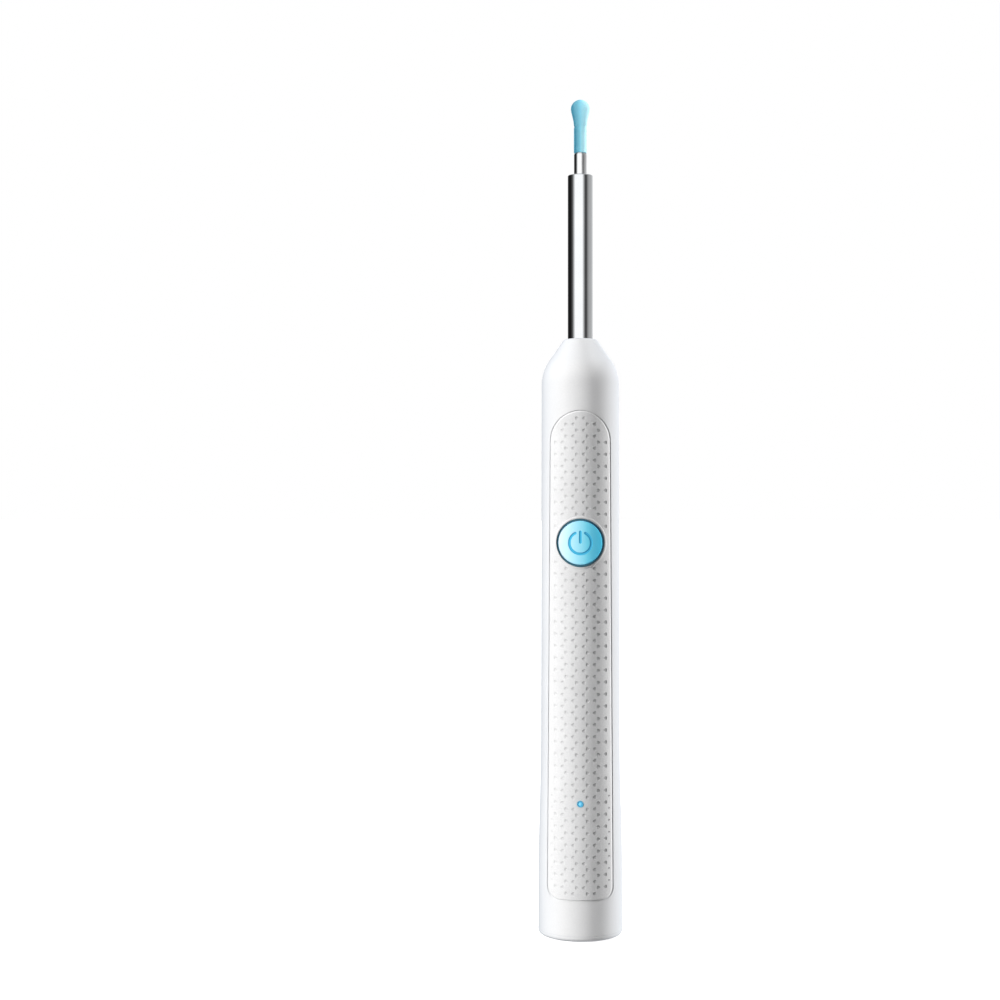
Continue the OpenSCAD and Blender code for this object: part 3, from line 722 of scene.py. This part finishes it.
def make_housing():
    build = Build()
    recess_wall(build, outer_band(build))
    recess_floor(build)
    # Below the recess: the straight band, a hairline at the end cap, and up into the bore.
    rows = [ring(build, float(body_r(z)), z, 1.0) for z in (BAND_ENDS[0], 3.5, SEAM_Z + 0.06)]
    rows.append(ring(build, BASE_R - 0.03, SEAM_Z + 0.015, 0.8, -0.6))
    rows += [ring(build, r, z) for r, z in ((BASE_R - 0.2, SEAM_Z), (BORE_R0, SEAM_Z), (BORE_R0, 8.0),
                                            (BORE_R1, BORE_Z0))]
    for a, b in zip(rows, rows[1:]):
        build.bridge(b, a)
    # Above it: the shoulder, the cone, the lip, the hole for the probe, and down into the bore.
    rows = [ring(build, float(body_r(z)), z, 1.0, 0.01) for z in (BAND_ENDS[1], SHOULDER_Z)]
    for a in np.radians(np.linspace(3, degrees(CONE_ANGLE), 12)):
        r, z = SHOULDER_R - SHOULDER_ARC * (1 - cos(a)), SHOULDER_Z + SHOULDER_ARC * sin(a)
        rows.append(ring(build, r, z, cos(a), sin(a)))
    for a in np.linspace(CONE_ANGLE, pi / 2, 9):
        r, z = LIP_R + LIP_ROUND * cos(a), LIP_Z - LIP_ROUND + LIP_ROUND * sin(a)
        rows.append(ring(build, r, z, cos(a), sin(a)))
    rows.append(ring(build, PROBE_R + 0.06, LIP_Z, 0.0, 1.0))
    rows.append(ring(build, PROBE_R + SLACK, LIP_Z - 0.05, -0.7, 0.7))
    rows += [ring(build, r, z)
             for r, z in ((PROBE_R + SLACK, NECK_Z - 2.0), (3.4, NECK_Z - 2.9), (BORE_R1, BORE_Z1))]
    for a, b in zip(rows, rows[1:]):
        build.bridge(a, b)
    return piece("housing", build.mesh("housing"), "body_shell", ["housing"])


make_housing()


# ---------------------------------------------------------------- the grip panel
DIMPLE_PITCH, DIMPLE_PERIOD, DIMPLE_PAIR = 0.9816, 3.5, 1.17  # row to row, pair to pair, within a pair
FACE_INSET = PANEL_GAP + PANEL_EDGE  # the panel's flat face begins this far inside the recess's outline
DIMPLE_HOLES = ((BUTTON_Z, BEZEL_R + 0.7), (LIGHT_Z, LIGHT_R + 0.45))


def dimple_centres():
    """Gaps between close-packed round pads: pairs that point at each other, every second row shifted."""
    top = PANEL_Z1 - 1.35
    for row in range(81):
        z = top - row * DIMPLE_PITCH
        for k in range(-3, 4):
            middle = k * DIMPLE_PERIOD + (row % 2) * DIMPLE_PERIOD / 2
            for side in (-1, 1):
                x = middle + side * DIMPLE_PAIR / 2
                if panel_depth_in(x, z) >= FACE_INSET + 0.3 and clear_of(DIMPLE_HOLES, x, z, 0):
                    yield x, z, (0.0 if side < 0 else pi)


def cusp_loop(x, z, turn, size):
    """A three-cornered gap with hollow sides. One corner points along turn."""
    r = size * np.tile((0.27, 0.245, 0.215, 0.2, 0.215, 0.245), 3)
    a = turn + np.arange(18) * pi / 9
    return np.stack([x + r * np.cos(a), z + r * np.sin(a)], -1)


def follow(build, row, loops, depths):
    """Rings on the body's front at those depths, each joined to the one before it. Returns the last."""
    for loop, depth in zip(loops, depths):
        foot = build.add(on_body(*loop.T, depth))
        build.bridge(row, foot, flip=True)
        row = foot
    return row


def rounded_edge(build, rim, outline, steps, wall_depth):
    """Rolls an edge over from the face down to the wall's foot. outline(inset) gives its loops."""
    insets, depths = zip(*steps, (steps[-1][0], wall_depth))
    return follow(build, rim, [outline(inset) for inset in insets], depths)


def edge_steps(gap, radius, count=5):
    """Insets and depths round a quarter circle, from the face to the wall."""
    return [(gap + radius * (1 - sin(a)), radius * (1 - cos(a)))
            for a in np.linspace(0, pi / 2, count + 1)[1:]]


def make_panel():
    build = Build()
    hole_round, bead = 0.12 * 0.6, 0.4

    def button_hole(inset):
        return circle(BUTTON_Z, BEZEL_R + SLACK + inset, 96)

    def light_hole(inset):
        return circle(LIGHT_Z, LIGHT_R + SLACK + inset, 32)

    # The face, with a ring of points at three depths and one in the middle for each dimple.
    loops = [(loop, 0.0, 0.0, True)
             for loop in (panel_outline(FACE_INSET), button_hole(bead), light_hole(hole_round))]
    loose, centres = [], list(dimple_centres())
    for x, z, turn in centres:
        size = 1.0 if panel_depth_in(x, z) > 0.8 else 0.6
        loops.append((cusp_loop(x, z, turn, 1.4 * size), 0.0, 0.0, True))
        # The inner rings and the middle carry the mark where the panel's material paints shade into the
        # dimples.
        loops.append((cusp_loop(x, z, turn, 1.22 * size), 0.015, 0.7, False))
        loops.append((cusp_loop(x, z, turn, 0.95 * size), 0.05 * size, 1.0, False))
        loose.append(((x, z), 0.06 * size, 1.0, False))
    spots = np.array([(x, z) for x, z, _ in centres])
    rims = ((BUTTON_Z, BEZEL_R + bead), (LIGHT_Z, LIGHT_R + 0.1))
    loose += [((x, z), 0.0, 0.0, True) for z in np.arange(PANEL_Z0 + 0.6, PANEL_Z1 - 0.5, 0.5)
              for x in np.arange(-5.25, 5.3, 0.5)
              if panel_depth_in(x, z) >= FACE_INSET + 0.2 and clear_of(rims, x, z, 0.2)
              and np.min(np.hypot(*(spots - (x, z)).T)) > 0.5]
    holes = ((BUTTON_Z, BEZEL_R + SLACK + bead), (LIGHT_Z, LIGHT_R + SLACK + hole_round))
    rows = cdt_patch(build, on_front, loops, loose,
                     lambda x, z: within(FACE_INSET, x, z) & clear_of(holes, x, z))

    # Its edges: a plain round outside, a raised bead at the button and a small round at the light.
    rounded_edge(build, rows[0], panel_outline, edge_steps(PANEL_GAP, PANEL_EDGE), PANEL_T)
    rolled = [(bead * (1 + cos(a)) / 2, -0.07 * sin(a) + 0.03 * (a / pi) ** 4)
              for a in np.linspace(0, pi, 11)[1:]]
    for rim, hole, steps in ((rows[1], button_hole, rolled),
                             (rows[2], light_hole, edge_steps(0, hole_round, 3))):
        rounded_edge(build, rim[::-1], lambda inset, hole=hole: hole(inset)[::-1], steps, PANEL_T)

    # Its back.
    holes = ((BUTTON_Z, BEZEL_R + SLACK), (LIGHT_Z, LIGHT_R + SLACK))
    rims = (button_hole(0), light_hole(0))
    plain_face(build, PANEL_GAP, PANEL_T, holes, rims, 0.25, 0.2 - SLACK, flip=True)
    return piece("grip_panel", build.mesh("grip_panel"), "grip_panel", ["grip_panel"])


make_panel()


# ---------------------------------------------------------------- button, bezel and status light
def stroke(points, half):
    """Closed outline of a line drawn with a round pen of that half width."""
    points = np.array(points)
    d = np.gradient(points, axis=0)
    n = np.stack([-d[:, 1], d[:, 0]], -1) / np.linalg.norm(d, axis=1)[:, None]

    def end(centre, start):
        return [centre + half * np.array([cos(start - a), sin(start - a)])
                for a in np.linspace(0, pi, 7)[1:-1]]

    first, last = atan2(*n[0][::-1]), atan2(*n[-1][::-1])
    return np.array([*(points + n * half), *end(points[-1], last), *(points - n * half)[::-1],
                     *end(points[0], first + pi)])


def make_button():
    build = Build()
    face_r, edge = BUTTON_R + 0.04, 0.16
    flange_r, flange_depth, flange_y = 4.2, 0.75, box_mm("power_button")[1][1]
    skirt_r, skirt_y, stem_r, stem_y = 3.1, -5.2, 0.9, -4.42

    def outline(inset):
        return circle(BUTTON_Z, face_r - inset, 96)

    def lift(x, z, depth):
        return on_front(x, z, depth - BUTTON_PROUD)

    # The face, with the power symbol pressed into it.
    ring_line = [(ICON_R * sin(a), BUTTON_Z + ICON_R * cos(a))
                 for a in np.linspace(ICON_GAP, 2 * pi - ICON_GAP, 49)]
    bar_line = [(0, BUTTON_Z + h) for h in np.linspace(0.1, ICON_R, 9)]
    loops = [(outline(edge), 0.0, 0.0, True)]
    for line in (ring_line, bar_line):
        loops.append((stroke(line, ICON_W / 2 + 0.015), 0.0, 0.0, True))
        loops.append((stroke(line, ICON_W / 2 - 0.03), ICON_DEPTH, 1.0, False))
    grid = np.arange(-3.2, 3.3, 0.22)
    loose = [((x, BUTTON_Z + z), 0.0, 0.0, True) for z in grid for x in grid
             if np.hypot(x, z) < face_r - edge - 0.12 and not ICON_R - 0.25 < np.hypot(x, z) < ICON_R + 0.25
             and not (abs(x) < 0.26 and -0.2 < z < ICON_R + 0.3)]
    rows = cdt_patch(build, lift, loops, loose, lambda x, z: np.hypot(x, z - BUTTON_Z) < face_r - edge)

    # The rounded edge, the wall and the flange follow the body's curve. The skirt and the stem are flat.
    insets, depths = zip(*edge_steps(0, edge, 6), (0, 0.6), (0, 1.4))
    loops = [outline(inset) for inset in (*insets, 0, face_r - flange_r)]
    depths = [depth - BUTTON_PROUD for depth in depths] + [flange_depth] * 2
    row = follow(build, rows[0], loops, depths)
    for r, y in ((flange_r, flange_y), (skirt_r, flange_y), (skirt_r, skirt_y), (stem_r, skirt_y),
                 (stem_r, stem_y)):
        x, z = circle(BUTTON_Z, r, 96).T
        flat = build.add(np.stack([x, 0 * x + y, z], -1))
        build.bridge(row, flat, flip=True)
        row = flat
    build.cap(row, flip=True)
    return piece("power_button", build.mesh("power_button"), "button_blue", ["power_button"], "button")


def make_bezel():
    build = Build()
    half, middle, round_r = (BEZEL_R - BEZEL_IN_R) / 2, (BEZEL_R + BEZEL_IN_R) / 2, 0.06
    quarter = np.linspace(0, pi / 2, 5)
    top = round_r - BEZEL_PROUD
    section = [(-half, PANEL_T)]
    section += [(-half + round_r - round_r * cos(a), top - round_r * sin(a)) for a in quarter]
    section += [(half - round_r + round_r * sin(a), top - round_r * cos(a)) for a in quarter]
    section.append((half, PANEL_T))
    rows = [build.add(on_body(*circle(BUTTON_Z, middle + offset, 128).T, depth))
            for offset, depth in section]
    for a, b in zip(rows, rows[1:] + rows[:1]):
        build.bridge(a, b, flip=True)
    return piece("button_bezel", build.mesh("button_bezel", 40), "bezel_metal", ["button_bezel"])


def make_light():
    """A small dome in a ring, with a flange behind the panel and a stem to the board's light."""
    build = Build()
    face, stem_r = LIGHT_LOW[1], 0.45
    rest = -(float(body_r(LIGHT_Z)) - LIGHT_REST)
    dome = ((0.16, 0), (0.26, 0.03), (0.31, 0.1), (0.34, 0.13), (0.38, 0.1), (0.43, 0.03), (0.48, 0),
            (0.52, 0.03), (LIGHT_R, 0.08))
    back = [(LIGHT_R, rest - LIGHT_FLANGE), (LIGHT_FLANGE_R, rest - LIGHT_FLANGE), (LIGHT_FLANGE_R, rest),
            (stem_r, rest), (stem_r, LIGHT_HIGH[1])]
    outline = [(r, face + sunk) for r, sunk in dome] + back
    rows = revolve(build, outline, 48, about="Y", centre=(0, 0, LIGHT_Z))
    for row, mark in zip(rows, (1.0, 0.9, 0.4)):
        for i in row:
            build.marks[i] = mark
    return piece("light_pipe", build.mesh("light_pipe", 50), "light_pipe", ["light_pipe"])


make_button()
make_bezel()
make_light()


# ---------------------------------------------------------------- probe and lens barrel
def make_probe():
    build = Build()
    inner, seat_z, round_r = PROBE_R - 0.3, LIP_Z - 0.1, 0.2
    shank_r = PROBE_R - 0.05
    outline = [(inner, PROBE_LOW[2]), (shank_r, PROBE_LOW[2]), (shank_r, seat_z), (PROBE_R, seat_z)]
    outline += [(PROBE_R, z) for z in np.linspace(seat_z + 1, PROBE_Z1 - 1, 12)]
    outline += arc(PROBE_R - round_r, PROBE_Z1 - round_r, round_r, 0, 90, 8)
    outline += arc(inner + 0.06, PROBE_Z1 - 0.06, 0.06, 90, 180, 4)
    revolve(build, outline, 128, closed=True)
    return piece("probe_tube", build.mesh("probe_tube"), "probe_steel", ["probe_tube"])


def make_barrel():
    build = Build()
    step_z, spigot_r, bore = SPOON_Z0 - 0.16, 0.86, 0.76
    outline = [(bore, BARREL_LOW[2]), (BARREL_R, BARREL_LOW[2])]
    outline += [(BARREL_R, z) for z in np.linspace(PROBE_Z1 - 1, step_z - 0.3, 5)]
    outline += arc(BARREL_R - 0.06, step_z - 0.06, 0.06, 0, 90, 4)
    outline += [(spigot_r, step_z), (spigot_r, BARREL_HIGH[2] - 0.04)]
    outline += arc(spigot_r - 0.04, BARREL_HIGH[2] - 0.04, 0.04, 0, 90, 3) + [(bore, BARREL_HIGH[2])]
    revolve(build, outline, 96, closed=True)
    return piece("lens_barrel", build.mesh("lens_barrel"), "barrel_steel", ["lens_barrel"])


make_probe()
make_barrel()


# ---------------------------------------------------------------- the silicone spoon
def curve_at(table, h):
    """Smooth value at h through a table of (height, value)."""
    xs, ys = np.array(table, float).T
    slopes = np.gradient(ys, xs)
    k = np.clip(np.searchsorted(xs, h) - 1, 0, len(xs) - 2)
    w = xs[k + 1] - xs[k]
    t = (h - xs[k]) / w
    return ((2 * t**3 - 3 * t**2 + 1) * ys[k] + (t**3 - 2 * t**2 + t) * w * slopes[k]
            + (3 * t**2 - 2 * t**3) * ys[k + 1] + (t**3 - t**2) * w * slopes[k + 1])


# The spoon's half width, and the Y of its front, its rim and its hollow, by height over its foot.
SPOON_HALF = ((3.4, 1.08), (4.2, 1.08), (4.8, 1.1), (5.5, 1.19), (6.4, 1.39), (7.0, 1.52), (7.5, 1.585),
              (8.0, 1.52), (8.4, 1.32), (8.7, 1.06), (8.9, 0.78), (9.02, 0.5), (9.08, 0.2))
SPOON_FRONT = ((3.4, -1.08), (4.2, -1.08), (5.5, -1.17), (6.8, -1.22), (7.6, -1.16), (8.2, -1.0),
               (8.6, -0.83), (8.9, -0.62), (9.02, -0.5), (9.08, -0.4))
SPOON_RIM = ((3.4, -0.1), (4.2, -0.3), (4.8, -0.45), (5.6, -0.42), (6.4, -0.28), (7.4, -0.08), (8.2, -0.03),
             (8.6, -0.06), (8.9, -0.14), (9.02, -0.2), (9.08, -0.28))
SPOON_BACK = ((3.4, -0.9), (4.3, -0.86), (4.8, -0.62), (5.3, -0.52), (5.9, -0.62), (6.6, -0.8),
              (7.3, -0.86), (7.9, -0.74), (8.35, -0.5), (8.7, -0.28), (8.9, -0.22), (9.02, -0.25),
              (9.08, -0.3))
SPOON_TOP = SPOON_Z1 - 0.22          # as high as the photograph shows it
VOXEL = 0.04                         # of the remesh that fuses the sleeve with the spoon


def spoon_loop(h):
    """The spoon's section at height h: a round front and a hollow back."""
    tables = (SPOON_HALF, SPOON_FRONT, SPOON_RIM, SPOON_BACK)
    half, front, rim, back = (curve_at(table, h) for table in tables)
    if h < 4.6:
        half = max(0.3, min(half, sqrt(max(SLEEVE_R**2 - rim**2, 0.01))))
    a = np.linspace(-pi / 2, pi / 2, 25)
    t = np.linspace(1, -1, 21)
    hollow = max(half - 0.2, half * 0.6)
    x = np.concatenate([half * np.sin(a), hollow * t])
    y = np.concatenate([rim + (front - rim) * np.cos(a), rim + (back - rim) * (1 - t * t)])
    return np.stack([x, y, np.full(len(x), h)], -1)


def make_spoon():
    """A sleeve and a spoon, lofted apart, then fused and smoothed into one skin."""
    build = Build()
    bore, top = 0.88, 4.32
    outline = [(bore, 0.0), (SLEEVE_R - 0.06, 0.0), (SLEEVE_R - 0.015, 0.03), (SLEEVE_R, 0.08)]
    outline += [(SLEEVE_R, top - 0.08), (SLEEVE_R - 0.03, top - 0.02), (SLEEVE_R - 0.1, top), (bore, top)]
    revolve(build, outline, 96, closed=True)
    heights = np.concatenate([np.linspace(3.5, 8.4, 50), np.linspace(8.45, 9.08, 22)])
    rows = [build.add(spoon_loop(h)) for h in heights]
    for a, b in zip(rows, rows[1:]):
        build.bridge(a, b)
    build.cap(rows[0], flip=True)
    build.cap(rows[-1])
    mesh = bpy.data.meshes.new("ear_spoon_rough")
    mesh.from_pydata(build.points, [], build.faces)
    rough = bpy.data.objects.new("ear_spoon_rough", mesh)
    bpy.context.collection.objects.link(rough)
    remesh = rough.modifiers.new("fuse", "REMESH")
    remesh.mode = "VOXEL"
    remesh.voxel_size = VOXEL
    smooth = rough.modifiers.new("soften", "SMOOTH")
    smooth.factor = 0.5
    smooth.iterations = 6
    graph = bpy.context.evaluated_depsgraph_get()
    fused = bpy.data.meshes.new_from_object(rough.evaluated_get(graph))
    bpy.data.objects.remove(rough)
    points = np.empty(len(fused.vertices) * 3)
    fused.vertices.foreach_get("co", points)
    points = points.reshape(-1, 3)
    low, high = points[:, 2].min(), points[:, 2].max()
    points[:, 2] = SPOON_Z0 + (points[:, 2] - low) * (SPOON_TOP - SPOON_Z0) / (high - low)
    fused.vertices.foreach_set("co", (points * MM).ravel())
    fused.update()
    fused.shade_smooth()
    fused.name = "ear_spoon"
    return piece("ear_spoon", fused, "spoon_silicone", ["ear_spoon"], "spoon")


make_spoon()


# ---------------------------------------------------------------- carried-over CAD nodes
slots = {s["node"]: s["material_slot"] for s in frame["record"]["subparts"]}
for name, node in frame["nodes"].items():
    if not node.hide_render:
        if not node.material_slots:
            node.data.materials.append(None)
        for material_slot in node.material_slots:
            material_slot.link = "OBJECT"
            material_slot.material = MATERIALS[slots[name]]


# ---------------------------------------------------------------- floor, lights and camera
SIDE_GREY = 0.8                     # what the backdrop falls to at the sides and behind the camera
WEDGE = (0.37, 1.1)                 # sideways per forward: where the white backdrop ends


def wedge_share(m, x, y):
    """1 in the white wedge that opens from y = 0 along +Y, 0 outside it. m is the tree's Nodes."""
    ratio = m.math("DIVIDE", m.math("ADD", m.math("ABSOLUTE", x, 0.0), 0.01), m.math("MAXIMUM", y, 1e-4))
    return m.spread(ratio, 1, 0, *WEDGE)


def make_floor():
    """A plain pale floor that only the camera sees, from above. It is white in front of the camera."""
    mesh = bpy.data.meshes.new("floor")
    s, sunk = 6.0, -0.05 * MM
    mesh.from_pydata([(-s, -s, sunk), (s, -s, sunk), (s, s, sunk), (-s, s, sunk)], [], [(0, 1, 2, 3)])
    floor = bpy.data.objects.new("floor", mesh)
    bpy.context.collection.objects.link(floor)
    for ray in ("diffuse", "glossy", "transmission", "shadow"):
        setattr(floor, "visible_" + ray, False)
    m = Skin("floor")
    x, y, _ = m.split(m.coords)
    near = m.spread(y, 0, 1, -0.28, -0.05)
    share = m.math("MULTIPLY", near, wedge_share(m, x, m.math("ADD", y, 0.3)))
    matt, lift, seen, both = map(m.node, ("BsdfDiffuse", "Emission", "AddShader", "MixShader"))
    m.put(m.mix(share, (SIDE_GREY * 0.75,) * 3 + (1,), (0.95, 0.95, 0.95, 1)), matt.inputs["Color"])
    m.put(m.spread(share, 0.1, 0.45, 0, 1), lift.inputs["Strength"])
    for part, socket in zip((matt, lift), seen.inputs):
        m.put(part.outputs[0], socket)
    from_below, clear = m.node("NewGeometry").outputs["Backfacing"], m.node("BsdfTransparent")
    for out, socket in zip((from_below, seen.outputs[0], clear.outputs[0]), both.inputs):
        m.put(out, socket)
    m.put(both.outputs[0], m.tree.nodes["Material Output"].inputs["Surface"])
    mesh.materials.append(m.material)


def sun(name, turn, rise, strength, size):
    """Soft light from a direction: turn is counted from the front towards +X, in degrees."""
    light = bpy.data.lights.new(name, "SUN")
    light.energy = strength
    light.angle = radians(size)
    made = bpy.data.objects.new(name, light)
    made.visible_glossy = False
    t, e = radians(turn), radians(rise)
    towards = Vector((sin(t) * cos(e), -cos(t) * cos(e), sin(e)))
    made.rotation_euler = towards.to_track_quat("Z", "Y").to_euler()
    bpy.context.collection.objects.link(made)


# The studio's screens: (degrees from the front towards +X, brightness).
SCREENS = ((-180, 0.7), (-155, 0.1), (-138, 0.01), (-96, 0.01), (-76, 0.08), (-64, 0.36), (-48, 1.0),
           (18, 1.0), (31, 0.4), (44, 0.06), (58, 0.05), (73, 0.25), (90, 0.38), (116, 0.42), (142, 0.6),
           (172, 0.9))


def make_world():
    """Screens all round that only reflections see, under a grey dome. Diffuse rays get one even glow,
    and the camera the backdrop, which is white behind the object and grey round the sides."""
    world = bpy.data.worlds.new("studio")
    bpy.context.scene.world = world
    world.use_nodes = True
    world.node_tree.nodes.clear()
    m = Nodes(world.node_tree)
    x, y, z = m.split(m.node("TexCoord").outputs["Generated"])
    turn = m.math("ARCTAN2", x, m.math("MULTIPLY", y, -1))
    ramp = m.node("ValToRGB")
    elements = ramp.color_ramp.elements
    while len(elements) < len(SCREENS):
        elements.new(0.5)
    for element, (angle, value) in zip(elements, SCREENS):
        element.position = (angle + 180) / 360
        element.color = (value, value, value, 1)
    m.put(m.spread(turn, 0, 1, -pi, pi), ramp.inputs["Fac"])
    dome = m.mix(m.spread(z, 0, 1, 0.45, 0.8), ramp.outputs["Color"], (0.45, 0.45, 0.46, 1))
    backdrop = m.mix(wedge_share(m, x, y), (SIDE_GREY,) * 3 + (1,), (1, 1, 1, 1))
    sources = []
    for colour, strength in ((dome, 1.28), ((0.22, 0.22, 0.223, 1), 1), (backdrop, 1)):
        source = m.node("Background")
        m.put(colour, source.inputs["Color"])
        m.put(strength, source.inputs["Strength"])
        sources.append(source.outputs[0])
    screens, glow, white = sources
    path, soft, pick = m.node("LightPath"), m.node("MixShader"), m.node("MixShader")
    for shader, parts in ((soft, (path.outputs["Is Diffuse Ray"], screens, glow)),
                          (pick, (path.outputs["Is Camera Ray"], soft.outputs[0], white))):
        for socket, out in zip(shader.inputs, parts):
            m.put(out, socket)
    m.put(pick.outputs[0], m.node("OutputWorld").inputs["Surface"])


def make_camera():
    """A camera at the photograph's angle: level, in front and turned a little to the left."""
    data = bpy.data.cameras.new("camera")
    data.lens, data.sensor_width, data.clip_start = 64.7, 36, 0.01
    camera = bpy.data.objects.new("camera", data)
    camera.location = (0, -0.3, 0.0721)
    camera.rotation_euler = (pi / 2, 0, radians(2.56))
    bpy.context.collection.objects.link(camera)
    bpy.context.scene.camera = camera


make_floor()
sun("key", -60, 28, 3.55, 20)
sun("rim", 110.5, 17, 4.2, 14)
sun("under", 0, -89, 0.8, 30)
make_world()
make_camera()
settings = bpy.context.scene.view_settings
settings.view_transform, settings.look, settings.exposure, settings.gamma = "Standard", "None", 0, 1
